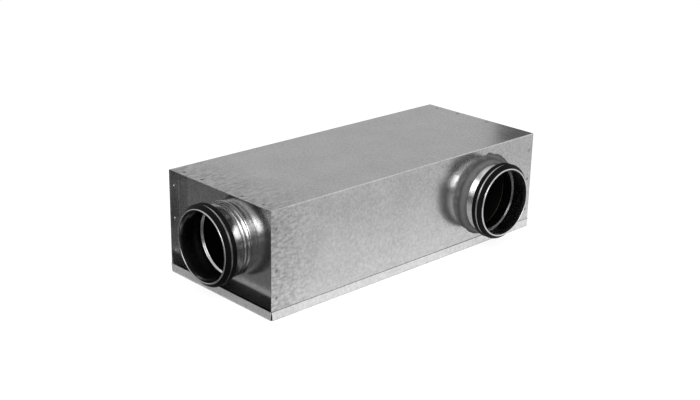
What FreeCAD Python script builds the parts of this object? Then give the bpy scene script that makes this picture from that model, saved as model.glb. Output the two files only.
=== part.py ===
import FreeCAD, Part
import os
import Sketcher

# Duct sound attenuator: a folded steel box lined with mineral wool, a round spigot at one
# end and a second one in its long side. Millimetres, +Z up, +X along the casing towards
# the closed end. The origin is the centre of the face that the box rests on.

SIZES = [
    # alias, size, what it is
    ("casing_length", 636.0, "cover, along the duct line"),
    ("casing_width", 264.0, "cover, over the outside of its two walls"),
    ("casing_height", 184.0, "floor to the top of the cover"),
    ("gauge", 0.9, "steel sheet thickness of cover, pan and end plates"),
    ("bend_inside", 1.0, "inside radius of every fold"),
    ("end_recess", 18.0, "end plates sit this far inside the cover's end edges"),
    ("flange_inset", 1.5, "end plate flanges stop this far inside the cover's end edges"),
    ("flange_relief", 2.2, "corner relief between neighbouring end plate flanges"),
    ("pan_lip", 15.0, "height of the pan's upturned edge"),
    ("pan_play", 0.1, "gap between cover and the pan's upturned edge"),
    ("corner_gap_low", 3.0, "pan corner relief, radius at the fold"),
    ("corner_gap_high", 1.1, "pan corner relief, radius at the lip"),
    ("clinch_edge", 10.0, "clinch joints, distance from the cover's end edge"),
    ("clinch_punch", 2.4, "clinch recess radius"),
    ("clinch_wall", 0.5, "sheet left round and under a clinch recess"),
    ("clinch_sink", 0.5, "clinch recess depth past the sheet's thickness"),
    ("clinch_play", 0.03, "gap between the two sheets inside a clinch"),
    ("clinch_side", 30.0, "outer clinches of top and bottom, from the cover's walls"),
    ("clinch_high", 31.5, "upper clinches of the walls, below the top"),
    ("clinch_low", 37.0, "lower clinches of the walls, above the floor"),
    ("near_inner_front", 50.5, "near end, inner clinch in front of the middle"),
    ("near_inner_rear", 54.5, "near end, inner clinch behind the middle"),
    ("far_inner_front", 26.0, "far end, inner clinch in front of the middle"),
    ("far_inner_rear", 48.0, "far end, inner clinch behind the middle"),
    ("near_front_mid", 83.0, "near end, middle clinch of the front wall, height"),
    ("near_rear_mid", 94.0, "near end, middle clinch of the rear wall, height"),
    ("far_front_mid", 64.0, "far end, middle clinch of the front wall, height"),
    ("far_front_upper", 97.0, "far end, fourth clinch of the front wall, height"),
    ("spigot_rise", 2.3, "centre line of both spigots above the middle of the casing"),
    ("side_spigot_inset", 137.7, "side spigot centre from the closed end's edge"),
    ("spigot_reach", 53.5, "spigot rim from the wall that carries it"),
    ("spigot_wall", 0.8, "spigot sheet thickness"),
    ("spigot_band", 61.9, "plain band behind the seal, outer radius"),
    ("spigot_seat", 60.5, "seat of the seal, outer radius"),
    ("seal_length", 20.0, "seal along the spigot, ending at the rolled rim"),
    ("hem_outer", 62.3, "rolled rim, outer radius"),
    ("hem_width", 2.5, "rolled rim, along the axis"),
    ("hem_round", 1.0, "rolled rim, corner radius"),
    ("swage_slope", 2.4, "length of the slope at each side of a swage"),
    ("swage_flat", 1.6, "flat at the bottom or crest of a swage"),
    ("swage_waist", 60.4, "shallow swage of the end spigot, outer radius"),
    ("end_swage_at", 12.8, "shallow swage of the end spigot, middle, from the plate"),
    ("neck_waist", 59.1, "deep swage of the end spigot, outer radius"),
    ("end_neck_at", 4.6, "deep swage of the end spigot, middle, from the plate"),
    ("side_collar_reach", 20.4, "side collar, its rolled rim from the wall"),
    ("side_collar_rim", 2.4, "rolled rim of the side collar, along the axis"),
    ("side_collar_bore", 58.4, "rolled rim of the side collar, inner radius"),
    ("root_outer", 61.0, "spigot where it passes the wall, outer radius"),
    ("root_play", 0.1, "gap between spigot and the hole in its wall"),
    ("collar_outer", 64.5, "bead that bears on the wall outside, radius"),
    ("collar_width", 1.2, "bead that bears on the wall outside, width"),
    ("crimp_outer", 66.0, "flange crimped over inside the wall, radius"),
    ("lip_outer", 68.8, "free radius of the seal's two lips"),
    ("lip_land", 1.4, "width of a lip's crest"),
    ("lip_nose", 4.6, "slope from the front lip down to the rim, along the axis"),
    ("lip_slope", 5.8, "slope from the strap up to the rear lip, along the axis"),
    ("lip_lean", 1.6, "rear lip leans back past its root by this much"),
    ("lip_root", 64.6, "radius where the rear lip leaves the seal's body"),
    ("seal_heel", 2.0, "thickness of the seal at its rear edge"),
    ("strap_seat", 66.3, "bottom of the strap's channel, radius"),
    ("seal_play", 0.05, "gap between seal and hem"),
    ("strap_width", 4.0, "clamping strap, along the axis"),
    ("strap_gauge", 0.7, "clamping strap, thickness"),
    ("strap_play", 0.02, "gap between strap and seal"),
    ("sealant_foot", 75.5, "radius of the sealant on the wall"),
    ("sealant_shift", 2.6, "sealant smeared this far up and towards the closed end"),
    ("sealant_mid", 67.0, "radius of the sealant where its foot ends"),
    ("sealant_mid_at", 5.4, "height of that radius above the wall"),
    ("sealant_top", 62.6, "radius of the sealant where it feathers out"),
    ("sealant_reach", 16.3, "length of the sealant along the spigot"),
    ("side_slab", 50.0, "mineral wool on the long walls and the closed end"),
    ("flat_slab", 25.0, "mineral wool under the top and on the floor"),
    ("slab_play", 0.35, "gap round every slab"),
    ("slab_gap", 2.0, "slabs stop this far from the near end plate"),
    ("facing", 0.8, "glass tissue facing, thickness"),
    ("slab_bore", 62.0, "radius of the air opening in the front slab"),
    ("sleeve_play", 0.1, "gap between that opening and the tissue turned into it"),
    ("crimp_room", 1.5, "room round the crimped flange in the front slab"),
    ("pin_radius", 1.35, "lining pin"),
    ("pin_play", 0.15, "gap round a pin in slab, facing and washer"),
    ("pin_first", 80.0, "first lining pin from the near end plate"),
    ("pin_pitch", 170.0, "spacing of the lining pins"),
    ("pin_tip", 1.5, "pin left standing past its washer"),
    ("washer_side", 30.0, "square lining washer"),
    ("washer_gauge", 0.8, "lining washer thickness"),
]

doc = FreeCAD.newDocument("duct_sound_attenuator")
sheet = doc.addObject("Spreadsheet::Sheet", "Sizes")
for row, (alias, value, note) in enumerate(SIZES, 1):
    sheet.set("A%d" % row, note)
    sheet.set("B%d" % row, str(value))
    sheet.setAlias("B%d" % row, alias)
doc.recompute()


class Size:
    """A length and the sheet formula that it follows, kept together through sums."""

    def __init__(self, value, formula):
        self.value = value
        self.formula = formula

    def __add__(self, other):
        other = as_size(other)
        return Size(self.value + other.value, "(%s + %s)" % (self.formula, other.formula))

    def __sub__(self, other):
        other = as_size(other)
        return Size(self.value - other.value, "(%s - %s)" % (self.formula, other.formula))

    def __mul__(self, factor):
        return Size(self.value * factor, "(%s * %s)" % (self.formula, factor))

    def __truediv__(self, divisor):
        return Size(self.value / divisor, "(%s / %s)" % (self.formula, divisor))

    def __neg__(self):
        return Size(-self.value, "(-%s)" % self.formula)


def as_size(number):
    return number if isinstance(number, Size) else Size(float(number), "%s" % number)


class Named:
    pass


size = Named()
for alias, value, note in SIZES:
    setattr(size, alias, Size(value, "Sizes.%s" % alias))

ZERO = as_size(0)
PARTS = []


def bind(thing, name, length):
    thing.setExpression(name, length.formula)


# Bodies, sketches and features

def new_body(label):
    body = doc.addObject("PartDesign::Body", label)
    body.Label = label
    PARTS.append(body)
    return body


def new_sketch(body, plane, offset=ZERO):
    """A sketch on an origin plane of its body, moved along that plane's normal."""
    sketch = body.newObject("Sketcher::SketchObject", body.Label + "_sketch")
    origin = [f for f in body.Origin.OriginFeatures if f.Role == plane][0]
    sketch.AttachmentSupport = [(origin, "")]
    sketch.MapMode = "FlatFace"
    bind(sketch, "AttachmentOffset.Base.z", offset)
    return sketch


def pin_point(sketch, geometry, point, x, y):
    """Dimension a point from the sketch origin, both ways, from the sheet."""
    for kind, length in (("DistanceX", x), ("DistanceY", y)):
        rule = sketch.addConstraint(
            Sketcher.Constraint(kind, -1, 1, geometry, point, length.value))
        bind(sketch, "Constraints[%d]" % rule, length)


def draw_circle(sketch, x, y, radius):
    x, y = as_size(x), as_size(y)
    centre = FreeCAD.Vector(x.value, y.value, 0)
    ring = sketch.addGeometry(Part.Circle(centre, FreeCAD.Vector(0, 0, 1), radius.value))
    pin_point(sketch, ring, 3, x, y)
    rule = sketch.addConstraint(Sketcher.Constraint("Radius", ring, radius.value))
    bind(sketch, "Constraints[%d]" % rule, radius)


def draw_outline(sketch, corners):
    """A closed outline. A corner (x, y) is sharp, and (x, y, radius) is a square corner
    rounded by a tangent arc."""
    corners = [tuple(as_size(part) for part in corner) for corner in corners]
    count = len(corners)
    plain = [FreeCAD.Vector(c[0].value, c[1].value, 0) for c in corners]

    def toward(start, end):
        return (plain[end] - plain[start]).normalize()

    leave, arrive, centres = [], [], []
    for i, corner in enumerate(corners):
        back, ahead = toward(i, i - 1), toward(i, (i + 1) % count)
        if len(corner) == 2:
            arrive.append(plain[i])
            leave.append(plain[i])
            centres.append(None)
            continue
        radius = corner[2]
        arrive.append(plain[i] + back * radius.value)
        leave.append(plain[i] + ahead * radius.value)
        inward = back + ahead
        centres.append((corner[0] + radius * round(inward.x),
                        corner[1] + radius * round(inward.y)))

    lines = [sketch.addGeometry(Part.LineSegment(leave[i], arrive[(i + 1) % count]))
             for i in range(count)]
    for i, corner in enumerate(corners):
        before, after = lines[i - 1], lines[i]
        if centres[i] is None:
            sketch.addConstraint(Sketcher.Constraint("Coincident", before, 2, after, 1))
            pin_point(sketch, after, 1, corner[0], corner[1])
            continue
        x, y = centres[i]
        middle = FreeCAD.Vector(x.value, y.value, 0)
        outward = (plain[i] - middle).normalize()
        arc = sketch.addGeometry(
            Part.Arc(arrive[i], middle + outward * corner[2].value, leave[i]))
        turned = sketch.getPoint(arc, 1).distanceToPoint(arrive[i]) > corner[2].value / 2
        first, last = (2, 1) if turned else (1, 2)
        sketch.addConstraint(Sketcher.Constraint("Tangent", before, 2, arc, first))
        sketch.addConstraint(Sketcher.Constraint("Tangent", arc, last, after, 1))
        pin_point(sketch, arc, 3, x, y)
        rule = sketch.addConstraint(Sketcher.Constraint("Radius", arc, corner[2].value))
        bind(sketch, "Constraints[%d]" % rule, corner[2])


def box_corners(x_low, x_high, y_low, y_high):
    return [(x_low, y_low), (x_high, y_low), (x_high, y_high), (x_low, y_high)]


def add_feature(body, kind, sketch, **settings):
    feature = body.newObject("PartDesign::" + kind, "%s_%s" % (body.Label, kind.lower()))
    feature.Profile = sketch
    for name, setting in settings.items():
        if isinstance(setting, Size):
            bind(feature, name, setting)
        else:
            setattr(feature, name, setting)
    sketch.Visibility = False
    body.Tip = feature
    return feature


def pad(body, sketch, length, both_ways=False, reverse=False):
    if both_ways:
        return add_feature(body, "Pad", sketch, Length=length, SideType="Symmetric")
    return add_feature(body, "Pad", sketch, Length=length, Reversed=reverse)


def pocket(body, sketch, length, reverse=False):
    return add_feature(body, "Pocket", sketch, Length=length, Reversed=reverse)


def place(body, x, y, z, axis=(0, 0, 1), angle=0):
    """Put a body where it sits, turned once about an axis."""
    body.Placement = FreeCAD.Placement(
        FreeCAD.Vector(0, 0, 0), FreeCAD.Rotation(FreeCAD.Vector(*axis), angle))
    for name, length in zip("xyz", (x, y, z)):
        bind(body, "Placement.Base." + name, as_size(length))


# Levels that several pieces share

HALF_LENGTH = size.casing_length / 2
HALF_WIDTH = size.casing_width / 2
WALL_IN = HALF_WIDTH - size.gauge
ROOF_IN = size.casing_height - size.gauge
FLOOR_IN = size.gauge
FOLD_OUT = size.bend_inside + size.gauge
PLATE_OUT = HALF_LENGTH - size.end_recess
PLATE_IN = PLATE_OUT - size.gauge
CLINCH_X = HALF_LENGTH - size.clinch_edge
CUP_RADIUS = size.clinch_punch + size.clinch_wall
CUP_LENGTH = size.clinch_sink + size.clinch_wall
SIDE_X = HALF_LENGTH - size.side_spigot_inset
SPIGOT_Z = size.casing_height / 2 + size.spigot_rise
TOP_OUTER = HALF_WIDTH - size.clinch_side
WALL_HIGH = size.casing_height - size.clinch_high

# Clinch joints by end: across the top and the floor, and up the two walls
ACROSS = {
    "near": [-TOP_OUTER, -size.near_inner_front, size.near_inner_rear, TOP_OUTER],
    "far": [-TOP_OUTER, -size.far_inner_front, size.far_inner_rear, TOP_OUTER],
}
FRONT = {
    "near": [size.clinch_low, size.near_front_mid, WALL_HIGH],
    "far": [size.clinch_low, size.far_front_mid, size.far_front_upper, WALL_HIGH],
}
REAR = {
    "near": [size.clinch_low, size.near_rear_mid, WALL_HIGH],
    "far": [size.clinch_low, size.near_rear_mid, WALL_HIGH],
}
END_X = {"near": -CLINCH_X, "far": CLINCH_X}


def both_ends(rows):
    return [(END_X[end], level) for end in ("near", "far") for level in rows[end]]


def press_cups(body, plane, outer, inner, spots, inward_is_normal):
    """Clinch cups pressed into a sheet from outside: a boss on its inner face, then the
    punch's recess from its outer face."""
    boss = new_sketch(body, plane, inner)
    for x, y in spots:
        draw_circle(boss, x, y, CUP_RADIUS)
    pad(body, boss, CUP_LENGTH, reverse=not inward_is_normal)
    recess = new_sketch(body, plane, outer)
    for x, y in spots:
        draw_circle(recess, x, y, size.clinch_punch)
    pocket(body, recess, size.gauge + size.clinch_sink, reverse=inward_is_normal)


def seat_cups(body, plane, outer, inner, spots, inward_is_normal):
    """The same joints in the inner sheet: a button raised on its far face, hollow where
    the outer sheet's cup fills it."""
    button = new_sketch(body, plane, inner)
    for x, y in spots:
        draw_circle(button, x, y, CUP_RADIUS + size.clinch_play + size.clinch_wall)
    pad(body, button, CUP_LENGTH + size.clinch_play + size.clinch_wall - size.gauge,
        reverse=not inward_is_normal)
    hollow = new_sketch(body, plane, outer)
    for x, y in spots:
        draw_circle(hollow, x, y, CUP_RADIUS + size.clinch_play)
    pocket(body, hollow, CUP_LENGTH + size.clinch_play, reverse=inward_is_normal)


# Cover: top and both long walls folded from one sheet

def build_cover():
    body = new_body("casing_cover")
    edge = FLOOR_IN + size.bend_inside
    section = new_sketch(body, "YZ_Plane")
    draw_outline(section, [
        (-HALF_WIDTH, edge),
        (-WALL_IN, edge),
        (-WALL_IN, ROOF_IN, size.bend_inside),
        (WALL_IN, ROOF_IN, size.bend_inside),
        (WALL_IN, edge),
        (HALF_WIDTH, edge),
        (HALF_WIDTH, size.casing_height, FOLD_OUT),
        (-HALF_WIDTH, size.casing_height, FOLD_OUT),
    ])
    pad(body, section, size.casing_length, both_ways=True)
    hole = new_sketch(body, "XZ_Plane", HALF_WIDTH)
    draw_circle(hole, SIDE_X, SPIGOT_Z, size.root_outer + size.root_play)
    pocket(body, hole, size.gauge)
    press_cups(body, "XY_Plane", size.casing_height, ROOF_IN, both_ends(ACROSS), False)
    press_cups(body, "XZ_Plane", HALF_WIDTH, WALL_IN, both_ends(FRONT), False)
    press_cups(body, "XZ_Plane", -HALF_WIDTH, -WALL_IN, both_ends(REAR), True)


# Pan: floor with its four edges turned up outside the cover, open at the corners

def build_pan():
    body = new_body("base_pan")
    half_x = HALF_LENGTH + size.pan_play + size.gauge
    half_y = HALF_WIDTH + size.pan_play + size.gauge
    for plane, half, span in (("YZ_Plane", half_y, half_x), ("XZ_Plane", half_x, half_y)):
        section = new_sketch(body, plane)
        draw_outline(section, [
            (-half, size.pan_lip),
            (-half, ZERO, FOLD_OUT),
            (half, ZERO, FOLD_OUT),
            (half, size.pan_lip),
            (half - size.gauge, size.pan_lip),
            (half - size.gauge, FLOOR_IN, size.bend_inside),
            (-half + size.gauge, FLOOR_IN, size.bend_inside),
            (-half + size.gauge, size.pan_lip),
        ])
        pad(body, section, span * 2, both_ways=True)
    for x in (-half_x, half_x):
        for y in (-half_y, half_y):
            relief = body.newObject("PartDesign::SubtractiveCone", "corner_relief")
            bind(relief, "Radius1", size.corner_gap_low)
            bind(relief, "Radius2", size.corner_gap_high)
            bind(relief, "Height", size.pan_lip)
            bind(relief, "Placement.Base.x", x)
            bind(relief, "Placement.Base.y", y)
            body.Tip = relief
    press_cups(body, "XY_Plane", ZERO, FLOOR_IN, both_ends(ACROSS), True)


# End plates: trays whose four flanges point outwards and lie against cover and pan

def build_end_plate(label, end, hole_radius=None):
    """Drawn with its outer face at x = 0 and its flanges towards -X, then set in place."""
    body = new_body(label)
    sign = -1 if end == "near" else 1
    reach = size.end_recess - size.flange_inset
    deep, wide = size.gauge, WALL_IN

    upright = new_sketch(body, "XZ_Plane")
    draw_outline(upright, [
        (-reach, ROOF_IN), (-reach, ROOF_IN - size.gauge),
        (ZERO, ROOF_IN - size.gauge, size.bend_inside),
        (ZERO, FLOOR_IN + size.gauge, size.bend_inside),
        (-reach, FLOOR_IN + size.gauge), (-reach, FLOOR_IN),
        (deep, FLOOR_IN, FOLD_OUT), (deep, ROOF_IN, FOLD_OUT),
    ])
    pad(body, upright, (wide - size.flange_relief) * 2, both_ways=True)

    level = new_sketch(body, "XY_Plane", FLOOR_IN + size.flange_relief)
    draw_outline(level, [
        (-reach, wide), (-reach, wide - size.gauge),
        (ZERO, wide - size.gauge, size.bend_inside),
        (ZERO, -wide + size.gauge, size.bend_inside),
        (-reach, -wide + size.gauge), (-reach, -wide),
        (deep, -wide, FOLD_OUT), (deep, wide, FOLD_OUT),
    ])
    pad(body, level, ROOF_IN - FLOOR_IN - size.flange_relief * 2)

    if hole_radius:
        hole = new_sketch(body, "YZ_Plane")
        draw_circle(hole, ZERO, SPIGOT_Z, hole_radius)
        pocket(body, hole, size.gauge, reverse=True)

    clinch = -(size.end_recess - size.clinch_edge)
    top = [(clinch, y * -sign) for y in ACROSS[end]]
    left, right = (FRONT, REAR) if end == "near" else (REAR, FRONT)
    seat_cups(body, "XY_Plane", ROOF_IN, ROOF_IN - size.gauge, top, False)
    seat_cups(body, "XY_Plane", FLOOR_IN, FLOOR_IN + size.gauge, top, True)
    seat_cups(body, "XZ_Plane", wide, wide - size.gauge, [(clinch, z) for z in left[end]], False)
    seat_cups(body, "XZ_Plane", -wide, -wide + size.gauge,
              [(clinch, z) for z in right[end]], True)
    if end == "near":
        place(body, -PLATE_OUT, ZERO, ZERO)
    else:
        place(body, PLATE_OUT, ZERO, ZERO, angle=180)


# Spigots: drawn standing on the wall at z = 0 and pointing up, then turned into place

RIM_IN = size.spigot_reach - size.hem_width
SEAL_BACK = RIM_IN - size.seal_length
CHANNEL_FRONT = RIM_IN - size.lip_nose - size.lip_land


def swage(middle, level, waist):
    """Outer line of a swage rolled into a tube of the given level, from its rear."""
    flat = size.swage_flat / 2
    return [
        (level, middle - flat - size.swage_slope),
        (waist, middle - flat),
        (waist, middle + flat),
        (level, middle + flat + size.swage_slope),
    ]


def stand(body, where):
    if where == "end":
        place(body, -PLATE_OUT, ZERO, SPIGOT_Z, axis=(0, 1, 0), angle=-90)
    else:
        place(body, SIDE_X, -HALF_WIDTH, SPIGOT_Z, axis=(1, 0, 0), angle=90)


def turn(body, sketch):
    axis = (sketch, ["V_Axis"])
    return add_feature(body, "Revolution", sketch, ReferenceAxis=axis, Angle=360)


def crimp():
    """The flange crimped over inside the wall, up to the hole that it comes through."""
    return [
        (size.crimp_outer, -size.gauge - size.spigot_wall),
        (size.crimp_outer, -size.gauge),
        (size.root_outer, -size.gauge),
    ]


def build_spigot(label, where, swages, crimped):
    """Rolled tube: the bead that bears on the wall, swages, the plain band, the seal's seat
    and a rolled rim. A crimped one goes on through the wall."""
    body = new_body(label)
    wall = size.spigot_wall
    root = size.root_outer if crimped else size.spigot_band
    outer = [(root, size.collar_width)]
    for line in swages:
        outer += line
    outer += [
        (size.spigot_band, SEAL_BACK - wall),
        (size.spigot_seat, SEAL_BACK),
    ]
    inner = [(radius - wall, level) for radius, level in reversed(outer)]
    foot = [(size.collar_outer, ZERO), (size.collar_outer, size.collar_width)]
    if crimped:
        foot = crimp() + [(root, ZERO)] + foot
        inner.append((root - wall, -size.gauge - wall))
    else:
        inner[-1] = (root - wall, ZERO)
    sketch = new_sketch(body, "XZ_Plane")
    draw_outline(sketch, foot + outer + [
        (size.spigot_seat, RIM_IN),
        (size.hem_outer, RIM_IN),
        (size.hem_outer, size.spigot_reach, size.hem_round),
        (size.spigot_seat - wall, size.spigot_reach, size.hem_round),
    ] + inner)
    turn(body, sketch)
    stand(body, where)


def build_side_collar():
    """Collar crimped into the long wall, with its outer end rolled inwards. The side
    spigot slides over it."""
    body = new_body("side_collar")
    rim = size.side_collar_reach - size.side_collar_rim
    inside = size.root_outer - size.spigot_wall
    sketch = new_sketch(body, "XZ_Plane")
    draw_outline(sketch, crimp() + [
        (size.root_outer, size.side_collar_reach, size.hem_round),
        (size.side_collar_bore, size.side_collar_reach, size.hem_round),
        (size.side_collar_bore, rim),
        (inside, rim),
        (inside, -size.gauge - size.spigot_wall),
    ])
    turn(body, sketch)
    stand(body, "side")


def build_seal(label, where):
    """Double-lip rubber ring on its seat: a nose that slopes from the rim up to the front
    lip, a channel for the strap, and a rear lip that leans back towards the wall."""
    body = new_body(label)
    back = SEAL_BACK + size.seal_play
    front = RIM_IN - size.seal_play
    seat = size.spigot_seat + size.seal_play
    channel_back = CHANNEL_FRONT - size.strap_width - size.strap_play * 2
    rear_crest = channel_back - size.lip_slope
    sketch = new_sketch(body, "XZ_Plane")
    draw_outline(sketch, [
        (seat, back),
        (seat + size.seal_heel, back),
        (size.lip_root, rear_crest - size.lip_land + size.lip_lean),
        (size.lip_outer, rear_crest - size.lip_land),
        (size.lip_outer, rear_crest),
        (size.strap_seat + size.strap_gauge, channel_back),
        (size.strap_seat, channel_back),
        (size.strap_seat, CHANNEL_FRONT),
        (size.lip_outer, CHANNEL_FRONT),
        (size.lip_outer, CHANNEL_FRONT + size.lip_land),
        (size.hem_outer, front),
        (seat, front),
    ])
    turn(body, sketch)
    stand(body, where)


def build_strap(label, where):
    """Steel strap pulled round the seal between its lips."""
    body = new_body(label)
    inside = size.strap_seat + size.strap_play
    front = CHANNEL_FRONT - size.strap_play
    back = front - size.strap_width
    sketch = new_sketch(body, "XZ_Plane")
    draw_outline(sketch, [
        (inside, back), (inside + size.strap_gauge, back),
        (inside + size.strap_gauge, front), (inside, front),
    ])
    turn(body, sketch)
    stand(body, where)


def build_sealant():
    """Hand-smoothed fillet of duct sealant round the foot of the side spigot."""
    body = new_body("side_sealant")
    levels = [
        (ZERO, size.sealant_foot, size.sealant_shift),
        (size.sealant_mid_at, size.sealant_mid, size.sealant_shift / 3),
        (size.sealant_reach, size.sealant_top, ZERO),
    ]
    rings = []
    for level, radius, shift in levels:
        ring = new_sketch(body, "XY_Plane", level)
        draw_circle(ring, shift, shift, radius)
        rings.append(ring)
    add_feature(body, "AdditiveLoft", rings[0], Sections=rings[1:])
    bore = new_sketch(body, "XY_Plane")
    draw_circle(bore, ZERO, ZERO, size.spigot_band + size.root_play)
    pocket(body, bore, size.sealant_reach, reverse=True)
    rebate = new_sketch(body, "XY_Plane")
    draw_circle(rebate, ZERO, ZERO, size.collar_outer + size.root_play)
    pocket(body, rebate, size.collar_width + size.root_play, reverse=True)
    stand(body, "side")


# Lining: slabs, facings, pins and washers

LINE_NEAR = -PLATE_IN + size.slab_gap
LINE_FAR = PLATE_IN - size.slab_play
WALL_SEAT = WALL_IN - size.slab_play
WALL_FACE = WALL_SEAT - size.side_slab
SLAB_LOW = FLOOR_IN + size.slab_play
SLAB_HIGH = ROOF_IN - size.slab_play
FLAT_HALF = WALL_FACE - size.facing - size.slab_play
FLOOR_FACE = SLAB_LOW + size.flat_slab
ROOF_FACE = SLAB_HIGH - size.flat_slab
FAR_FACE = LINE_FAR - size.side_slab
PIN_X = [-PLATE_IN + size.pin_first + size.pin_pitch * i for i in range(3)]
PIN_HOLE = size.pin_radius + size.pin_play
SLEEVE_OUT = size.slab_bore - size.sleeve_play
SLEEVE_IN = SLEEVE_OUT - size.facing

# plane, drawn range across and up, side of the sheet metal, lining face, way to the air
PANELS = {
    "front": dict(plane="XZ_Plane", normal=-1, back=-WALL_SEAT, face=-WALL_FACE, metal=-WALL_IN,
                  across=(LINE_NEAR, LINE_FAR), up=(SLAB_LOW, SLAB_HIGH),
                  pins=[(x, SPIGOT_Z) for x in PIN_X[:2]]),
    "rear": dict(plane="XZ_Plane", normal=-1, back=WALL_SEAT, face=WALL_FACE, metal=WALL_IN,
                 across=(LINE_NEAR, LINE_FAR), up=(SLAB_LOW, SLAB_HIGH),
                 pins=[(x, SPIGOT_Z) for x in PIN_X]),
    "top": dict(plane="XY_Plane", normal=1, back=SLAB_HIGH, face=ROOF_FACE, metal=ROOF_IN,
                across=(LINE_NEAR, LINE_FAR), up=(-FLAT_HALF, FLAT_HALF),
                pins=[(x, ZERO) for x in PIN_X]),
    "bottom": dict(plane="XY_Plane", normal=1, back=SLAB_LOW, face=FLOOR_FACE, metal=FLOOR_IN,
                   across=(LINE_NEAR, LINE_FAR), up=(-FLAT_HALF, FLAT_HALF),
                   pins=[(x, ZERO) for x in PIN_X]),
    "far_end": dict(plane="YZ_Plane", normal=1, back=LINE_FAR, face=FAR_FACE, metal=PLATE_IN,
                    across=(-FLAT_HALF, FLAT_HALF),
                    up=(FLOOR_FACE + size.facing + size.slab_play,
                        ROOF_FACE - size.facing - size.slab_play),
                    pins=[(ZERO, SPIGOT_Z)]),
}


def layer(body, panel, start, end, outline, holes):
    """A flat layer of a panel between two levels along the panel's normal."""
    low, high = (start, end) if start.value < end.value else (end, start)
    base = low if panel["normal"] > 0 else -high
    sketch = new_sketch(body, panel["plane"], base)
    outline(sketch)
    for x, y, radius in holes:
        draw_circle(sketch, x, y, radius)
    pad(body, sketch, high - low)


def build_panel(name):
    panel = PANELS[name]
    air = -1 if panel["face"].value < panel["back"].value else 1
    skin = panel["face"] + size.facing * air
    slab_holes = [(x, y, PIN_HOLE) for x, y in panel["pins"]]
    skin_holes = list(slab_holes)
    if name == "front":
        slab_holes.append((SIDE_X, SPIGOT_Z, size.slab_bore))
        skin_holes.append((SIDE_X, SPIGOT_Z, SLEEVE_IN))

    def rectangle(sketch):
        draw_outline(sketch, box_corners(*panel["across"], *panel["up"]))

    def sleeve(sketch):
        draw_circle(sketch, SIDE_X, SPIGOT_Z, SLEEVE_OUT)

    slab = new_body("absorber_" + name)
    layer(slab, panel, panel["back"], panel["face"], rectangle, slab_holes)
    tissue = new_body("facing_" + name)
    layer(tissue, panel, panel["face"], skin, rectangle, skin_holes)
    if name == "front":
        crimp_depth = size.spigot_wall + size.crimp_room
        rebate = new_sketch(slab, panel["plane"], -panel["back"])
        draw_circle(rebate, SIDE_X, SPIGOT_Z, size.crimp_outer + size.crimp_room)
        pocket(slab, rebate, crimp_depth)
        layer(tissue, panel, panel["back"] + crimp_depth, panel["face"], sleeve,
              [(SIDE_X, SPIGOT_Z, SLEEVE_IN)])


def group(label, pieces):
    """Separate pieces of one kind, kept together as one compound."""
    whole = doc.addObject("Part::Compound", label)
    whole.Label = label
    whole.Links = pieces
    PARTS.append(whole)


def washer_and_pin(panel, x, y, number):
    """One lining pin, welded to the sheet, and the square washer pushed over its tip."""
    air = -1 if panel["face"].value < panel["back"].value else 1
    low_side = air > 0
    washer_base = panel["face"] + size.facing * air
    washer_end = washer_base + size.washer_gauge * air
    tip = washer_end + size.pin_tip * air
    pieces = []
    for kind, start, end in (("pin", panel["metal"], tip), ("washer", washer_base, washer_end)):
        body = doc.addObject("PartDesign::Body", "lining_%s_%d" % (kind, number))
        low, high = (start, end) if low_side else (end, start)
        base = low if panel["normal"] > 0 else -high
        sketch = new_sketch(body, panel["plane"], base)
        if kind == "pin":
            draw_circle(sketch, x, y, size.pin_radius)
        else:
            half = size.washer_side / 2
            draw_outline(sketch, box_corners(as_size(x) - half, as_size(x) + half,
                                             as_size(y) - half, as_size(y) + half))
            draw_circle(sketch, x, y, PIN_HOLE)
        pad(body, sketch, high - low)
        pieces.append(body)
    return pieces


def build_pins_and_washers():
    groups = {"side_lining_pins": [], "flat_lining_pins": [], "lining_washers": []}
    number = 0
    for name, panel in PANELS.items():
        kind = "flat_lining_pins" if name in ("top", "bottom") else "side_lining_pins"
        for x, y in panel["pins"]:
            number += 1
            pin, washer = washer_and_pin(panel, x, y, number)
            groups[kind].append(pin)
            groups["lining_washers"].append(washer)
    for label, pieces in groups.items():
        group(label, pieces)


build_cover()
build_pan()
build_end_plate("near_end_plate", "near", size.root_outer + size.root_play)
build_end_plate("far_end_plate", "far")
END_SWAGES = [
    swage(size.end_neck_at, size.root_outer, size.neck_waist),
    swage(size.end_swage_at, size.spigot_band, size.swage_waist),
]
for where, swages in (("end", END_SWAGES), ("side", [])):
    build_spigot(where + "_spigot", where, swages, crimped=where == "end")
    build_seal(where + "_seal", where)
    build_strap(where + "_seal_strap", where)
build_side_collar()
build_sealant()
for panel_name in PANELS:
    build_panel(panel_name)
build_pins_and_washers()
doc.recompute()

for thing in doc.Objects:
    for state in ("Invalid", "Error"):
        if state in thing.State:
            raise RuntimeError("%s is %s" % (thing.Label, state))
for thing in PARTS:
    if thing.Shape.isNull() or not thing.Shape.isValid():
        raise RuntimeError("%s has no valid shape" % thing.Label)

os.makedirs("parts", exist_ok=True)
for thing in PARTS:
    thing.Shape.exportStep("parts/%s.step" % thing.Label)
    solids = len(thing.Shape.Solids)
    print("%-20s %2d solid(s) %10.0f mm3" % (thing.Label, solids, thing.Shape.Volume))
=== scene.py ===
# %% [markdown]
# # A duct sound attenuator
# A low box of galvanised steel lined with mineral wool. Air comes in through the round
# spigot at one end and leaves through the one near the far end of the long side. The solid
# model of every piece is loaded first, so that whatever is added here sits where it belongs.

# %% Load the solid model
import math
import bmesh
import bpy
from mathutils import Matrix, Vector, noise


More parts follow.
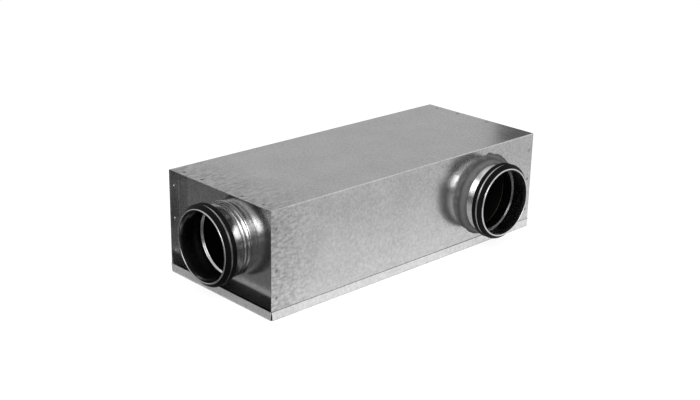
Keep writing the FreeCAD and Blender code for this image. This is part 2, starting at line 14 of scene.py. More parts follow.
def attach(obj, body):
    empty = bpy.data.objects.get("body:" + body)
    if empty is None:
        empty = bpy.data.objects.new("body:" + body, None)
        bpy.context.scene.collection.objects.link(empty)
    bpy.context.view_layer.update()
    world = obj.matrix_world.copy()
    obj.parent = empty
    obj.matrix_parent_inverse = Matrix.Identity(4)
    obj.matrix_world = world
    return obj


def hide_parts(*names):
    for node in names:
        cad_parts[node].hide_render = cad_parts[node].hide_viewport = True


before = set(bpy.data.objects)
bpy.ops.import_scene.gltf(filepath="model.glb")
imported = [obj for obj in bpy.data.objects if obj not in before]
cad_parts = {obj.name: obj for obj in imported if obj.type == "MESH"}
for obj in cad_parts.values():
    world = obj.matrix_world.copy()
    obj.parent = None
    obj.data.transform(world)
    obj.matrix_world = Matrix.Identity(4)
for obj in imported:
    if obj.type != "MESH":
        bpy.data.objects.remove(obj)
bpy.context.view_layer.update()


def in_short(box):
    """A box's two corners in metres, rounded for printing."""
    return [tuple(round(c, 4) for c in corner) for corner in box]


# %% [markdown]
# ## Measures
# Sheet-metal drawings are in millimetres and Blender counts in metres, so a measure is
# written in millimetres and multiplied by MM where it is used. The origin is the middle of
# the underside. X runs along the casing to its closed end, and the side spigot points along
# minus Y.

# %% Measures
MM = 0.001
END, WALL, TOP = 318, 132, 184  # half the length, half the width, and the height
PLATE = 300  # how far the end plate stands from the middle
AXIS_HEIGHT, SIDE_AXIS_X = 94.3, 180.3  # where the axes of the spigots run
print("casing", 2 * END, "x", 2 * WALL, "x", TOP, "mm, axes", AXIS_HEIGHT, "mm up")

# %% [markdown]
# ## Camera
# A camera is placed by what it looks at, how far off it stands, and two angles. It is turned
# a degree about its own line of sight, as a hand-held camera is. A long lens keeps the box's
# edges nearly parallel.

# %% Camera
AIM = Vector((-0.0002, 0.0259, 0.0836))
DISTANCE = 2.1677
AZIMUTH, ELEVATION, ROLL = (math.radians(a) for a in (-43.96, 19.99, 1.18))
LENS_MM, SENSOR_MM = 61.78, 36.0


def new_object(name, data):
    """An object in the scene, at the origin and unturned."""
    made = bpy.data.objects.new(name, data)
    bpy.context.collection.objects.link(made)
    return made


away = Vector((math.sin(AZIMUTH) * math.cos(ELEVATION),
               -math.cos(AZIMUTH) * math.cos(ELEVATION),
               math.sin(ELEVATION)))
level = Vector((math.cos(AZIMUTH), math.sin(AZIMUTH), 0.0))
upright = away.cross(level)
right = level * math.cos(ROLL) + upright * math.sin(ROLL)
up = upright * math.cos(ROLL) - level * math.sin(ROLL)

camera = new_object("camera", bpy.data.cameras.new("camera"))
camera.data.sensor_width = SENSOR_MM
camera.data.lens = LENS_MM
camera.matrix_world = (Matrix.Translation(AIM + away * DISTANCE)
                       @ Matrix((right, up, away)).transposed().to_4x4())
bpy.context.scene.camera = camera
bpy.context.scene.view_settings.view_transform = "Standard"
print("camera at", [round(c, 3) for c in camera.matrix_world.translation])

# %% [markdown]
# ## Helpers for materials
# A colour is written as a web designer would, as an sRGB hex value, and Blender wants it
# linear. One small function adds a node with its settings and links, so that a material
# reads as a list of its nodes. Most finishes here are two shades with a noise between them.

# %% Helpers for materials
def linear(hex_value):
    """An sRGB hex colour as the linear values that Blender mixes light with."""
    channels = [int(hex_value[i:i + 2], 16) / 255 for i in (1, 3, 5)]
    return [c / 12.92 if c <= 0.04045 else ((c + 0.055) / 1.055) ** 2.4
            for c in channels] + [1.0]


def add_node(tree, kind, settings=None, **inputs):
    """Add a node. An input given as a socket is linked, and anything else is its value."""
    node = tree.nodes.new("ShaderNode" + kind)
    for name, value in (settings or {}).items():
        setattr(node, name, value)
    for name, value in inputs.items():
        key = int(name[1:]) if name[0] == "_" and name[1:].isdigit() else name.replace("_", " ")
        socket = node.inputs[key]
        if isinstance(value, bpy.types.NodeSocket):
            tree.links.new(value, socket)
        else:
            socket.default_value = value
    return node


def new_finish(name):
    """An empty material with its principled shader, and where its patterns are read."""
    finish = bpy.data.materials.new(name)
    finish.use_nodes = True
    tree = finish.node_tree
    shader = tree.nodes["Principled BSDF"]
    place = add_node(tree, "TexCoord").outputs["Object"]
    return finish, tree, shader, place


def per_metre(size_mm):
    """Noise scale at which one blob is about this many millimetres across."""
    return 1 / (size_mm * MM)


def between_shades(tree, tone, low, high, dark, light):
    """The dark colour where the tone is low, the light one where it is high."""
    share = add_node(tree, "MapRange", Value=tone, From_Min=low, From_Max=high)
    return add_node(tree, "Mix", {"data_type": "RGBA"}, _0=share.outputs["Result"],
                    _6=linear(dark), _7=linear(light)).outputs[2]


print("mid grey is", round(linear("#808080")[0], 3), "in linear light")

# %% [markdown]
# ## Clinch joints
# The sheets are held together by round clinch joints, where a punch presses both into a
# small cup. Shade is painted into a cup on the outside, and a highlight is painted on the
# button that it raises on the inner sheet. The cups are part of the solid sheets. For their
# tint, the middle of each joint is listed: rows across the top, down the front and down the
# rear, near each end. A mask is 1 close to the nearest of them.

# %% Clinch joints
ROW = END - 10
CORNER_ROWS = {-ROW: ((-102, -50.5, 54.5, 102), (37, 83, 152.5), (37, 94, 152.5)),
               ROW: ((-102, -26, 48, 102), (37, 64, 97, 152.5), (37, 94, 152.5))}
CUP_FLOOR, CUP_EDGE = 2.8, 4.4  # radii
JOINTS = []
for x, (across, front, rear) in CORNER_ROWS.items():
    JOINTS += [(x * MM, y * MM, TOP * MM) for y in across]
    JOINTS += [(x * MM, -WALL * MM, z * MM) for z in front]
    JOINTS += [(x * MM, WALL * MM, z * MM) for z in rear]


def near_a_joint(tree, place):
    """1 inside the cup of a joint, falling to 0 at its edge."""
    nearest = 1.0
    for spot in JOINTS:
        apart = add_node(tree, "VectorMath", {"operation": "DISTANCE"}, _0=place, _1=spot)
        nearest = add_node(tree, "Math", {"operation": "MINIMUM"},
                           _0=apart.outputs["Value"], _1=nearest).outputs[0]
    return add_node(tree, "MapRange", Value=nearest, From_Min=CUP_FLOOR * MM,
                    From_Max=CUP_EDGE * MM, To_Min=1.0, To_Max=0.0).outputs["Result"]


# %% [markdown]
# ## Zinc
# The casing is cold-rolled steel dipped in molten zinc. The zinc freezes as a skin of small
# crystals, so the sheet shows a fine cloudy mottle about 4 mm across, over wider, fainter
# clouds. Hands have left stains at the end with the spigot, so a third noise, drawn out
# along the casing, is taken away from the mottle there and fades out further on.

# %% Zinc
SPANGLE_MM, CLOUD_MM, SMUDGE_MM = 4.5, 60.0, 5.5
HANDLED_FROM, HANDLED_TO = -END, -190


def zinc_colour(tree, place, x, clouds, joint, dark, light, worn, button_highlight):
    spangle = add_node(tree, "TexNoise", Vector=place, Scale=per_metre(SPANGLE_MM),
                       Detail=4.0, Roughness=0.6)
    mottle = add_node(tree, "Math", {"operation": "MULTIPLY_ADD"}, _0=clouds, _1=0.3,
                      _2=spangle.outputs["Fac"])
    wiped = add_node(tree, "Mapping", Vector=place, Scale=(0.45, 1.0, 1.0))
    smudge = add_node(tree, "TexNoise", Vector=wiped.outputs["Vector"],
                      Scale=per_metre(SMUDGE_MM), Detail=3.0)
    smudge = add_node(tree, "MapRange", Value=smudge.outputs["Fac"], From_Min=0.38,
                      From_Max=0.66)
    handled = add_node(tree, "MapRange", {"interpolation_type": "SMOOTHSTEP"}, Value=x,
                       From_Min=HANDLED_FROM * MM, From_Max=HANDLED_TO * MM,
                       To_Min=worn, To_Max=0.0)
    stain = add_node(tree, "Math", {"operation": "MULTIPLY"}, _0=handled.outputs["Result"],
                     _1=smudge.outputs["Result"])
    stained = add_node(tree, "Math", {"operation": "SUBTRACT"}, _0=mottle.outputs[0],
                       _1=stain.outputs[0])
    # The button of a joint is lightened here, which is a painted highlight.
    tone = add_node(tree, "Math", {"operation": "MULTIPLY_ADD"}, _0=joint, _1=button_highlight,
                    _2=stained.outputs[0])
    return between_shades(tree, tone.outputs[0], 0.2, 0.95, dark, light)


print("a crystal is about", SPANGLE_MM, "mm across")

# %% [markdown]
# ## Painted shade on the sheets
# Shade is painted into the cups of the joints, low down on a wall, and inside the pan. So
# each sheet is painted darker below a height of its own, and inside a box of its own, above its
# floor.

# %% Painted shade on the sheets
PAINTED_SHADE_GREY = "#2e2e2e"
HEM_BLEND, FLOOR_SKIN = 0.3, 0.2


def painted_shade_share(tree, spot, joint, cup_shade, hem_mm, inside_mm):
    """How much painted shade covers the sheet, from 0 to 1."""
    hem = add_node(tree, "MapRange", Value=spot["Z"], From_Min=(hem_mm - HEM_BLEND) * MM,
                   From_Max=hem_mm * MM, To_Min=1.0, To_Max=0.0)
    outside = add_node(tree, "Math", {"operation": "MULTIPLY_ADD", "use_clamp": True},
                       _0=joint, _1=cup_shade, _2=hem.outputs["Result"])
    within = [add_node(tree, "Math", {"operation": "COMPARE"}, _0=spot[side], _1=0.0,
                       _2=half * MM).outputs[0] for side, half in zip("XY", inside_mm)]
    boxed = add_node(tree, "Math", {"operation": "MULTIPLY"}, _0=within[0], _1=within[1])
    raised = add_node(tree, "Math", {"operation": "GREATER_THAN"}, _0=spot["Z"],
                      _1=FLOOR_SKIN * MM)
    return add_node(tree, "Math", {"operation": "MULTIPLY_ADD", "use_clamp": True},
                    _0=boxed.outputs[0], _1=raised.outputs[0],
                    _2=outside.outputs[0]).outputs[0]


# This grey is the painted shade.
print("dirt is", PAINTED_SHADE_GREY)

# %% [markdown]
# ## Galvanised sheet
# Zinc is a metal, so it has no paint colour of its own: its grey is how much light it
# mirrors, and its low roughness is why the box shows blurred mirror images of its spigots.
# It soon grows a thin matt film of oxide, thicker on the cover than on the sheltered end
# plates, so the sheet is a shade less than fully metallic. Thin sheet is never quite flat,
# and a faint wave bends what it mirrors.

# %% Galvanised sheet
WAVE_MM, WAVE_DEPTH = 75.0, 0.13


def galvanised(name, dark, light, roughness, oxide, worn, button_highlight=0.0, cup_shade=0.0,
               hem_mm=0.0, inside_mm=(0, 0)):
    finish, tree, shader, place = new_finish(name)
    spot = add_node(tree, "SeparateXYZ", Vector=place).outputs
    joint = near_a_joint(tree, place)
    clouds = add_node(tree, "TexNoise", Vector=place, Scale=per_metre(CLOUD_MM),
                      Detail=2.0).outputs["Fac"]
    zinc = zinc_colour(tree, place, spot["X"], clouds, joint, dark, light, worn, button_highlight)
    shade_share = painted_shade_share(tree, spot, joint, cup_shade, hem_mm, inside_mm)
    shaded_zinc = add_node(tree, "Mix", {"data_type": "RGBA"}, _0=shade_share, _6=zinc,
                     _7=linear(PAINTED_SHADE_GREY))
    tree.links.new(shaded_zinc.outputs[2], shader.inputs["Base Color"])
    blur = add_node(tree, "MapRange", Value=clouds, From_Min=0.3, From_Max=0.7,
                    To_Min=roughness - 0.02, To_Max=roughness + 0.02)
    tree.links.new(blur.outputs["Result"], shader.inputs["Roughness"])
    wave = add_node(tree, "TexNoise", Vector=place, Scale=per_metre(WAVE_MM), Detail=1.0)
    bump = add_node(tree, "Bump", Height=wave.outputs["Fac"], Strength=1.0,
                    Distance=WAVE_DEPTH * MM)
    tree.links.new(bump.outputs["Normal"], shader.inputs["Normal"])
    shader.inputs["Metallic"].default_value = 1.0 - oxide
    return finish


# Painted shade: the cover is darkened in its cups and below 15 mm, which shows only in the open
# corner under the pan's lip. The pan is darkened on its inner faces, and the plate below 4.5
# mm. The plate's buttons get a painted highlight.
COVER_SHEET = galvanised("galvanised_cover_sheet", "#9c9c9c", "#d2d2d2", roughness=0.2,
                         oxide=0.14, worn=0.5, cup_shade=0.25, hem_mm=15.0)
PAN_SHEET = galvanised("galvanised_pan_sheet", "#b4b4b4", "#e6e6e6", roughness=0.2,
                       oxide=0.1, worn=0.1, cup_shade=0.3, inside_mm=(END + 0.5, WALL + 0.5))
PLATE_SHEET = galvanised("galvanised_plate_sheet", "#9e9e9e", "#d0d0d0", roughness=0.16,
                         oxide=0.08, worn=0.15, button_highlight=1.5, hem_mm=4.5)
print("made", COVER_SHEET.name, PAN_SHEET.name, PLATE_SHEET.name)

# %% [markdown]
# ## Inside of a tube
# Shade is painted on the inside of a tube, as a darker steel. A face of it is known by its
# normal, which points back at the tube's axis, so the normal is compared with the arm from
# the axis.

# %% Inside of a tube
INSIDE_SHADE_STEEL = "#8a8a8a"


def arm_from_axis(tree, place, axis, middle):
    """The part of the way from a point on the axis that is square to the axis."""
    square = [0.0 if letter == axis else 1.0 for letter in "XYZ"]
    way = add_node(tree, "VectorMath", {"operation": "SUBTRACT"}, _0=place, _1=middle)
    return add_node(tree, "VectorMath", {"operation": "MULTIPLY"},
                    _0=way.outputs["Vector"], _1=square).outputs["Vector"]


def shaded_inside(tree, place, axis, middle, steel):
    arm = add_node(tree, "VectorMath", {"operation": "NORMALIZE"},
                   _0=arm_from_axis(tree, place, axis, middle))
    facing = add_node(tree, "VectorMath", {"operation": "DOT_PRODUCT"},
                      _0=add_node(tree, "TexCoord").outputs["Normal"],
                      _1=arm.outputs["Vector"])
    inward = add_node(tree, "MapRange", Value=facing.outputs["Value"], From_Min=-0.95,
                      From_Max=-0.8, To_Min=1.0, To_Max=0.0)
    return add_node(tree, "Mix", {"data_type": "RGBA"}, _0=inward.outputs["Result"],
                    _6=steel, _7=linear(INSIDE_SHADE_STEEL)).outputs[2]


# This grey is the painted shade inside a tube.
print("oily steel is", INSIDE_SHADE_STEEL)

# %% [markdown]
# ## Rolled steel
# A spigot is rolled from brighter strip, and the rollers leave fine lines that run round
# it. Noise stretched along the axis direction alone gives such rings: its scale is high
# along the axis and low across it. Real lines are finer than the picture can show, so they
# are drawn about a millimetre apart. The strap is duller than the tubes. The collar deep
# inside the side spigot is given darker steel, which is painted shade.

# %% Rolled steel
STRETCH = 0.02
SPOT_MM = 9.0


def rolled(name, axis, dark, light, roughness, pitch_mm=1.2, middle=None):
    finish, tree, shader, place = new_finish(name)
    scale = [1.0 if letter == axis else STRETCH for letter in "XYZ"]
    stretched = add_node(tree, "Mapping", Vector=place, Scale=scale)
    lines = add_node(tree, "TexNoise", Vector=stretched.outputs["Vector"],
                     Scale=per_metre(pitch_mm), Detail=3.0)
    spots = add_node(tree, "TexNoise", Vector=place, Scale=per_metre(SPOT_MM), Detail=3.0)
    tone = add_node(tree, "Math", {"operation": "MULTIPLY_ADD"}, _0=spots.outputs["Fac"],
                    _1=0.5, _2=lines.outputs["Fac"])
    steel = between_shades(tree, tone.outputs[0], 0.5, 1.0, dark, light)
    if middle:
        steel = shaded_inside(tree, place, axis, middle, steel)
    tree.links.new(steel, shader.inputs["Base Color"])
    blur = add_node(tree, "MapRange", Value=lines.outputs["Fac"], From_Min=0.3, From_Max=0.7,
                    To_Min=roughness - 0.04, To_Max=roughness + 0.04)
    tree.links.new(blur.outputs["Result"], shader.inputs["Roughness"])
    bump = add_node(tree, "Bump", Height=lines.outputs["Fac"], Strength=0.3,
                    Distance=0.01 * MM)
    tree.links.new(bump.outputs["Normal"], shader.inputs["Normal"])
    shader.inputs["Metallic"].default_value = 1.0
    return finish


TUBE_STEEL = {"end": rolled("rolled_steel_end", "X", "#a8a8a8", "#c8c8c8", 0.22,
                            middle=(0.0, 0.0, AXIS_HEIGHT * MM)),
              "side": rolled("rolled_steel_side", "Y", "#bcbcbc", "#dadada", 0.2)}
STRAP_STEEL = {where: rolled("strap_steel_" + where, axis, "#a0a0a0", "#bcbcbc", 0.38,
                             pitch_mm=0.8)
               for where, axis in (("end", "X"), ("side", "Y"))}
# Darker steel for the collar, which is painted shade deep inside the spigot.
SHADED_COLLAR_STEEL = rolled("shaded_collar_steel", "Y", "#909090", "#b0b0b0", 0.22)
print("rolled steel for", list(TUBE_STEEL), "tubes and straps, and the collar")

# %% [markdown]
# ## Rubber and sealant
# The seal is EPDM rubber, black with a satin skin: dark, not a metal, and a little rough.
# The sealant is a grey paste that dries matt, with the fine grain of its filler. Soft light
# and dark rings run round the tube, partly finger streaks and partly painted shade of the
# fillet's curve, so they depend on the distance from the tube's axis alone.

# %% Rubber and sealant
STREAK_MM, WANDER_MM = 5.0, 6.0


# Rings by distance from the axis: partly finger streaks, partly painted shade of the fillet.
def streaks_and_painted_shade(tree, place, grain, middle):
    arm = arm_from_axis(tree, place, "Y", middle)
    reach = add_node(tree, "VectorMath", {"operation": "LENGTH"}, _0=arm)
    wander = add_node(tree, "Math", {"operation": "MULTIPLY_ADD"}, _0=grain,
                      _1=WANDER_MM * MM, _2=reach.outputs["Value"])
    streaks = add_node(tree, "TexNoise", {"noise_dimensions": "1D"}, W=wander.outputs[0],
                       Scale=per_metre(STREAK_MM), Detail=1.0)
    return add_node(tree, "Mix", _0=0.55, _2=grain, _3=streaks.outputs["Fac"]).outputs[0]


def soft_finish(name, dark, light, roughness, shine, grain_mm, depth_mm, middle=None):
    finish, tree, shader, place = new_finish(name)
    grain = add_node(tree, "TexNoise", Vector=place, Scale=per_metre(grain_mm), Detail=5.0,
                     Roughness=0.6).outputs["Fac"]
    tone = streaks_and_painted_shade(tree, place, grain, middle) if middle else grain
    tree.links.new(between_shades(tree, tone, 0.3, 0.7, dark, light),
                   shader.inputs["Base Color"])
    bump = add_node(tree, "Bump", Height=grain, Strength=0.4, Distance=depth_mm * MM)
    tree.links.new(bump.outputs["Normal"], shader.inputs["Normal"])
    shader.inputs["Roughness"].default_value = roughness
    shader.inputs["Specular IOR Level"].default_value = shine
    return finish


RUBBER = soft_finish("epdm_rubber", "#080808", "#0e0e0e", roughness=0.5, shine=0.06,
                     grain_mm=2.0, depth_mm=0.05)
SEALANT = soft_finish("duct_sealant", "#404040", "#686868", roughness=0.55, shine=0.3,
                      grain_mm=12.0, depth_mm=0.8,
                      middle=(SIDE_AXIS_X * MM, 0.0, AXIS_HEIGHT * MM))
print("made", RUBBER.name, SEALANT.name)

# %% [markdown]
# ## Lining
# The wool slabs are pressed from mineral fibres, and a black glass tissue keeps the air
# stream from tearing them. Both are dull and fibrous, so a noise stretched one way stands
# for the fibres. Real fibres are too thin to show, so they are drawn as tufts of two or
# three millimetres. The pins and washers that hold the slabs are dull plated steel.

# %% Lining
def fibrous(name, dark, light, tuft_mm):
    finish, tree, shader, place = new_finish(name)
    combed = add_node(tree, "Mapping", Vector=place, Scale=(0.2, 1.0, 1.0))
    fibres = add_node(tree, "TexNoise", Vector=combed.outputs["Vector"],
                      Scale=per_metre(tuft_mm), Detail=6.0, Roughness=0.7).outputs["Fac"]
    tree.links.new(between_shades(tree, fibres, 0.3, 0.7, dark, light),
                   shader.inputs["Base Color"])
    bump = add_node(tree, "Bump", Height=fibres, Strength=0.6, Distance=0.4 * MM)
    tree.links.new(bump.outputs["Normal"], shader.inputs["Normal"])
    shader.inputs["Roughness"].default_value = 0.95
    shader.inputs["Specular IOR Level"].default_value = 0.1
    return finish


WOOL = fibrous("mineral_wool", "#8a7c4c", "#b3a36a", tuft_mm=3.0)
TISSUE = fibrous("glass_tissue", "#070707", "#0e0e0e", tuft_mm=2.0)
PIN_STEEL = rolled("plated_pin_steel", "Z", "#6a6a6a", "#8c8c8c", 0.4)
print("made", WOOL.name, TISSUE.name, PIN_STEEL.name)

# %% [markdown]
# ## Finish the solid pieces
# The sheets and the lining keep their solid shape, with folds and clinch joints already in
# it, and only take a finish.

# %% Finish the solid pieces
FINISHES = {
    "casing_cover": COVER_SHEET,
    "base_pan": PAN_SHEET,
    "near_end_plate": PLATE_SHEET,
    "far_end_plate": PLATE_SHEET,
    "lining_washers": PIN_STEEL,
    "side_lining_pins": PIN_STEEL,
    "flat_lining_pins": PIN_STEEL,
}
for panel in ("front", "rear", "top", "bottom", "far_end"):
    FINISHES["absorber_" + panel] = WOOL
    FINISHES["facing_" + panel] = TISSUE
for node, finish in FINISHES.items():
    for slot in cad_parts[node].material_slots:
        slot.material = finish
print("finished", len(FINISHES), "solid pieces")

# %% [markdown]
# ## Turned pieces
# The spigots, seals and straps are all round, so each is one outline turned about its
# duct's axis, as a roller forms the real one. The outline is a few corners, and each corner
# is rounded before the turn. A corner is given by its radius, by how far it stands out from
# the plate or the wall, and by how far its rounding starts from it, all in millimetres.

# %% Turned pieces
TURN_STEPS, CORNER_STEPS = 192, 4
WALLS = {
    "end": (Vector((-PLATE * MM, 0.0, AXIS_HEIGHT * MM)), Vector((-1.0, 0.0, 0.0))),
    "side": (Vector((SIDE_AXIS_X * MM, -WALL * MM, AXIS_HEIGHT * MM)),
             Vector((0.0, -1.0, 0.0))),
}


def outline_corners(bm, where, corners):
    """A closed outline beside its axis, from (radius, height, rounding) corners."""
    foot, out = WALLS[where]
    points = [bm.verts.new(foot + out * (height * MM) + Vector((0, 0, radius * MM)))
              for radius, height, _ in corners]
    for start, end in zip(points, points[1:] + points[:1]):
        bm.edges.new((start, end))
    for point, (_, _, rounding) in zip(points, corners):
        if rounding:
            bmesh.ops.bevel(bm, geom=[point], affect="VERTICES", offset=rounding * MM,
                            segments=CORNER_STEPS, profile=0.5, material=-1)


def turn_full_circle(bm, where):
    foot, out = WALLS[where]
    bmesh.ops.spin(bm, geom=bm.verts[:] + bm.edges[:], cent=foot, axis=out,
                   angle=2 * math.pi, steps=TURN_STEPS, use_merge=True)
    bmesh.ops.remove_doubles(bm, verts=bm.verts, dist=0.001 * MM)
    bmesh.ops.recalc_face_normals(bm, faces=bm.faces)


print("turned about", {where: in_short(line) for where, line in WALLS.items()})

# %% [markdown]
# ## Adding a piece
# A finished bmesh becomes a mesh with one finish. Its gentle bends are shaded smooth, and
# edges past 50 degrees stay sharp.

# %% Adding a piece
SHARP = math.radians(50)


def mesh_from(bm, name, finish):
    mesh = bpy.data.meshes.new(name)
    bm.to_mesh(mesh)
    bm.free()
    mesh.materials.append(finish)
    return mesh


def add_piece(bm, name, finish, slot, *nodes):
    mesh = mesh_from(bm, name, finish)
    mesh.shade_smooth()
    mesh.set_sharp_from_angle(angle=SHARP)
    piece = new_object(name, mesh)
    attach(piece, "root")
    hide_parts(*nodes)
    print(name, len(mesh.vertices), "vertices")


def add_turned_piece(name, where, corners, finish, slot, *nodes):
    bm = bmesh.new()
    outline_corners(bm, where, corners)
    turn_full_circle(bm, where)
    add_piece(bm, name, finish, slot, *nodes)


print("edges stay sharp past", round(math.degrees(SHARP)), "degrees")

# %% [markdown]
# ## Spigots
# Each spigot is one rolled tube: a bead that bears on the wall outside, a plain band, a
# lower seat for the seal, and a rolled rim that keeps the seal on. The end spigot also has a
# flange crimped over inside the plate, and two swages pressed inwards to stiffen it. Under
# the seat, the inside follows the outside one wall thickness lower. The end spigot's neck
# is a smoother line that stays clear of the swages.

# %% Spigots
TUBE_WALL = 0.8
CRIMP = [(66.0, -1.7, 0.3), (66.0, -0.9, 0.3), (61.0, -0.9, 0.0)]
BEAD = [(64.5, 0.0, 0.0), (64.5, 1.2, 0.6)]
SEAT = [(61.9, 30.2, 0.5), (60.5, 31.0, 0.3)]
RIM = [(60.5, 51.0, 0.2), (62.3, 51.0, 0.7), (62.3, 53.5, 1.1), (59.7, 53.5, 1.1)]
NECK = [(61.1, 24.0, 2.0), (59.6, 14.0, 1.2), (59.9, 9.2, 0.8), (56.4, 5.8, 1.2),
        (57.0, 3.6, 1.2), (60.2, 0.4, 0.8), (60.2, -1.7, 0.5)]


def swage(middle, level, waist):
    """The outside of an inward swage: down, along its bottom, and up again."""
    return [(level, middle - 3.2, 0.9), (waist, middle - 0.8, 0.7),
            (waist, middle + 0.8, 0.7), (level, middle + 3.2, 0.9)]


def inside_of(outside):
    return [(radius - TUBE_WALL, height, rounding)
            for radius, height, rounding in reversed(outside)]


SWAGES = swage(4.6, level=61.0, waist=59.1) + swage(12.8, level=61.9, waist=60.4)
add_turned_piece(
    "end_spigot_tube", "end",
    CRIMP + [(61.0, 0.0, 0.0)] + BEAD + [(61.0, 1.2, 0.0)] + SWAGES + SEAT + RIM
    + inside_of(SEAT) + NECK,
    TUBE_STEEL["end"], "spigot_steel", "end_spigot")
add_turned_piece(
    "side_spigot_tube", "side",
    BEAD + [(61.9, 1.2, 0.0)] + SEAT + RIM + inside_of(SEAT) + [(61.1, 0.0, 0.0)],
    TUBE_STEEL["side"], "spigot_steel", "side_spigot")

# %% [markdown]
# ## Side collar
# The side spigot slides over a collar that is crimped into the long wall. The collar's
# outer end is rolled inwards, and that rim is the bright ring deep inside the spigot.

# %% Side collar
ROLLED_END = [(61.0, 18.2, 0.3), (58.9, 20.2, 0.35), (58.8, 19.5, 0.3), (60.2, 18.0, 0.3)]
add_turned_piece("side_collar_tube", "side", CRIMP + ROLLED_END + [(60.2, -1.7, 0.1)],
                 SHADED_COLLAR_STEEL, "spigot_steel", "side_collar")

# %% [markdown]
# ## Seals and straps
# The seal is a rubber ring with two lips that wipe the inside of the duct. Between the lips
# a thin steel strap is pulled tight to clamp it to its seat.

# %% Seals and straps
SEAL = [(60.55, 31.05, 0.1), (62.55, 31.05, 0.3), (64.6, 35.36, 1.0), (68.8, 33.76, 0.4),
        (68.8, 35.16, 0.8), (67.0, 40.96, 0.2), (66.3, 40.96, 0.1), (66.3, 45.0, 0.1),
        (68.8, 45.0, 0.4), (68.8, 46.4, 1.2), (62.3, 50.95, 0.4), (60.55, 50.95, 0.1)]
STRAP = [(66.32, 40.98, 0.1), (67.02, 40.98, 0.25), (67.02, 44.98, 0.25),
         (66.32, 44.98, 0.1)]
for where in WALLS:
    add_turned_piece(where + "_seal_ring", where, SEAL, RUBBER, "seal_rubber",
                     where + "_seal")
    add_turned_piece(where + "_strap_ring", where, STRAP, STRAP_STEEL[where], "strap_steel",
                     where + "_seal_strap")

# %% [markdown]
# ## Edge of the sealant
# The side spigot's foot is bedded in sealant smoothed round by hand, so it is wider above
# and towards the closed end, and its edge wanders. The edge's radius in millimetres is
# listed against the angle round the spigot, counted in degrees from the closed end up over
# the top.

# %% Edge of the sealant
EDGE = {-180: 72.5, -163: 73.5, -147: 71.8, -128: 68.8, -112: 71.2, -100: 73.2, -60: 76.5,
        -20: 79.5, 10: 81.5, 37: 82.2, 40: 81.1, 45: 81.5, 48: 79.8, 53: 81.2, 55: 79.7,
        60: 79.9, 65: 79.2, 69: 77.1, 73: 77.6, 79: 79.0, 83: 78.6, 86: 75.9, 94: 75.7,
        99: 75.6, 130: 70.7, 146: 73.8, 165: 73.3, 180: 72.5}


def edge_radius(angle):
    """Radius of the sealant's edge at an angle, between the two nearest listed ones."""
    angles = sorted(EDGE)
    for low, high in zip(angles, angles[1:]):
        if low <= angle <= high:
            share = (angle - low) / (high - low)
            return EDGE[low] * (1 - share) + EDGE[high] * share


print("edge from", min(EDGE.values()), "to", max(EDGE.values()), "mm")

# %% [markdown]
# ## Sealant
# The sealant starts as a turned fillet. Then each point outside the spigot's bead is pushed
# out by the width that the edge has in that direction, and by a little noise.

# %% Sealant
BEAD_RADIUS, FILLET_RADIUS = 64.6, 75.5
LUMP_MM, LUMP_HEIGHT = 11.0, 0.9
FILLET = [(62.0, 1.3, 0.0), (BEAD_RADIUS, 1.3, 0.0), (BEAD_RADIUS, 0.0, 0.0),
          (FILLET_RADIUS, 0.0, 0.4), (72.0, 2.6, 1.5), (67.0, 6.6, 2.5), (64.4, 11.5, 2.0),
          (62.6, 16.3, 0.4), (62.0, 16.3, 0.0)]

bm = bmesh.new()
outline_corners(bm, "side", FILLET)
turn_full_circle(bm, "side")
foot, out = WALLS["side"]
for point in bm.verts:
    arm = point.co - foot
    arm -= out * arm.dot(out)
    spread = max(0.0, (arm.length / MM - BEAD_RADIUS) / (FILLET_RADIUS - BEAD_RADIUS))
    if spread > 0.0:
        angle = math.degrees(math.atan2(arm.z, arm.x))
        lump = noise.noise(point.co * per_metre(LUMP_MM)) * LUMP_HEIGHT
        wider = (edge_radius(angle) - FILLET_RADIUS + lump) * spread
        point.co += arm.normalized() * wider * MM
add_piece(bm, "side_sealant_bead", SEALANT, "duct_sealant", "side_sealant")

# %% [markdown]
# ## Surround
# The box stands in a white studio. The surround shows pure white to the camera, in mirror
# images and through glass, but lights the box with less than half of that, so that the
# lamps still shape it.

# %% Surround
def seen_directly(tree):
    """1 for rays from the camera, from a mirror image or through glass, and 0 for others."""
    rays = add_node(tree, "LightPath")
    some = add_node(tree, "Math", {"operation": "ADD", "use_clamp": True},
                    _0=rays.outputs["Is Camera Ray"], _1=rays.outputs["Is Glossy Ray"])
    return add_node(tree, "Math", {"operation": "ADD", "use_clamp": True},
                    _0=some.outputs[0], _1=rays.outputs["Is Transmission Ray"]).outputs[0]


world = bpy.data.worlds.new("studio")
bpy.context.scene.world = world
world.use_nodes = True
sky = world.node_tree
surround = add_node(sky, "Background", Color=linear("#ffffff"), Strength=0.45)
white = add_node(sky, "Background", Color=linear("#ffffff"), Strength=1.0)
choice = add_node(sky, "MixShader", _0=seen_directly(sky), _1=surround.outputs[0],
                  _2=white.outputs[0])
sky.links.new(choice.outputs[0], sky.nodes["World Output"].inputs["Surface"])
print("surround", world.name)

# %% [markdown]
# ## Floor
# The floor is matt and pale for the light that it throws back. To the camera and in mirror
# images it glows almost white, with a faint matt part that keeps the box's shadow.

# %% Floor
FLOOR_SIZE, FLOOR_DROP = 12.0, 0.3


def empty_material(name):
    """A material with nothing but its output, and its node tree."""
    paint = bpy.data.materials.new(name)
    paint.use_nodes = True
    tree = paint.node_tree
    tree.nodes.remove(tree.nodes["Principled BSDF"])
    return paint, tree


def flat_mesh(name, place, width, height, paint):
    """A rectangle about the middle of the place, which is a matrix. Its sides in metres."""
    bm = bmesh.new()
    bmesh.ops.create_grid(bm, x_segments=1, y_segments=1, size=0.5,
                          matrix=place @ Matrix.Diagonal((width, height, 1.0, 1.0)))
    return mesh_from(bm, name, paint)


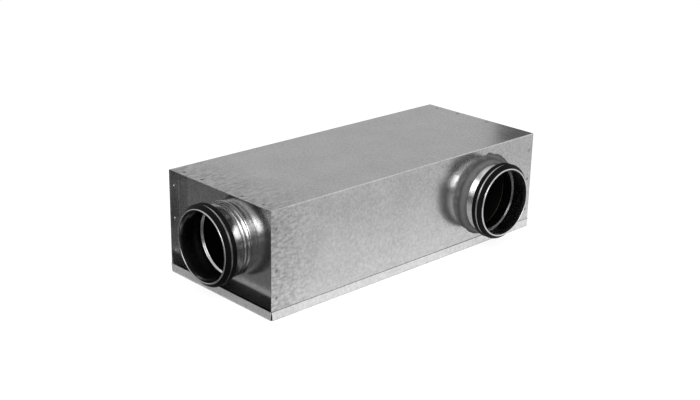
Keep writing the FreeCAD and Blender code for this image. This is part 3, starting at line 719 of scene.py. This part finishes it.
paint, tree = empty_material("white_floor")
matt = add_node(tree, "BsdfDiffuse", Color=linear("#dddddd"))
faint = add_node(tree, "BsdfDiffuse", Color=linear("#8a8a8a"))
glow = add_node(tree, "Emission", Color=linear("#ffffff"), Strength=0.88)
lit = add_node(tree, "AddShader", _0=faint.outputs[0], _1=glow.outputs[0])
floor_look = add_node(tree, "MixShader", _0=seen_directly(tree), _1=matt.outputs[0],
                      _2=lit.outputs[0])
tree.links.new(floor_look.outputs[0], tree.nodes["Material Output"].inputs["Surface"])
floor = new_object("studio_floor",
                   flat_mesh("studio_floor", Matrix.Translation((0, 0, -FLOOR_DROP * MM)),
                             FLOOR_SIZE, FLOOR_SIZE, paint))
print("floor", FLOOR_SIZE, "m wide")

# %% [markdown]
# ## Lamps
# A small key lamp in front of the spigot end gives the bright streaks on the tubes, and a
# large soft one above it fills in. A wide lamp overhead lights the top. It is kept out of
# mirror images, or the top would be one white glare from above.

# %% Lamps
LAMP_AIM = Vector((0.0, 0.0, 0.1))


def facing(place, direction):
    """The matrix that puts a thing at a place, with its own Z along the direction."""
    turn = Vector(direction).to_track_quat("Z", "Y").to_matrix().to_4x4()
    return Matrix.Translation(place) @ turn


def add_lamp(name, place, width, height, watts):
    lamp = bpy.data.lights.new(name, "AREA")
    lamp.shape = "RECTANGLE"
    lamp.size, lamp.size_y = width, height
    lamp.energy = watts
    holder = new_object(name, lamp)
    holder.matrix_world = facing(place, Vector(place) - LAMP_AIM)
    print(name, watts, "W")
    return holder


add_lamp("key_lamp", (-1.62, -1.66, 1.02), 0.6, 0.5, 4.7)
add_lamp("soft_lamp", (-1.1, -1.28, 1.5), 1.1, 0.9, 18)
top_lamp = add_lamp("top_lamp", (0.3, 0.2, 2.2), 1.6, 1.2, 12)
top_lamp.visible_glossy = False

# %% [markdown]
# ## Grey cards
# Metal shows what stands round it, so a studio puts grey cards where a mirror image should
# be darker than white. These are hidden from the camera and cast no shadow. On the floor lie
# a wide one that the end plate mirrors, a narrow and lighter one for the pan's edge, and one
# for the front wall that darkens in four steps as it runs out. The top mirrors the wide card
# behind the box, and its far corner a darker one. A low black card behind the camera gives
# the round tubes their dark parts.

# %% Grey cards
ON_FLOOR = 0.001
UP = (0, 0, 1)


def add_card(name, centre, direction, width, height, grey):
    paint, tree = empty_material(name)
    shade = add_node(tree, "Emission", Color=linear(grey), Strength=1.0)
    tree.links.new(shade.outputs[0], tree.nodes["Material Output"].inputs["Surface"])
    card = new_object(name, flat_mesh(name, facing(centre, direction), width, height, paint))
    for kind in ("camera", "diffuse", "shadow", "transmission"):
        setattr(card, "visible_" + kind, False)
    print(name, grey)


add_card("card_left", (-1.35, 0.7, ON_FLOOR), UP, 2.0, 3.0, "#707070")
add_card("card_near", (-0.3345, 0.0, ON_FLOOR), UP, 0.029, 0.4, "#b4b4b4")
for far, near, grey in ((-0.27, -0.205, "#fcfcfc"), (-0.33, -0.27, "#f2f2f2"),
                        (-0.40, -0.33, "#e8e8e8"), (-3.25, -0.40, "#dedede")):
    add_card("card_front_" + grey[1:3], (0.83, (far + near) / 2, ON_FLOOR), UP, 2.34,
             near - far, grey)
add_card("card_corner", (1.338, 0.326, 0.5), (-0.782, -0.623, 0), 0.7, 1.0, "#464646")
add_card("card_behind", (-1.95, -2.0, 0.25), (0.69, 0.72, 0), 3.0, 0.5, "#101010")
add_card("card_back", (1.9, 2.0, 1.0), (-0.69, -0.72, 0), 5.0, 2.8, "#c6c6c6")
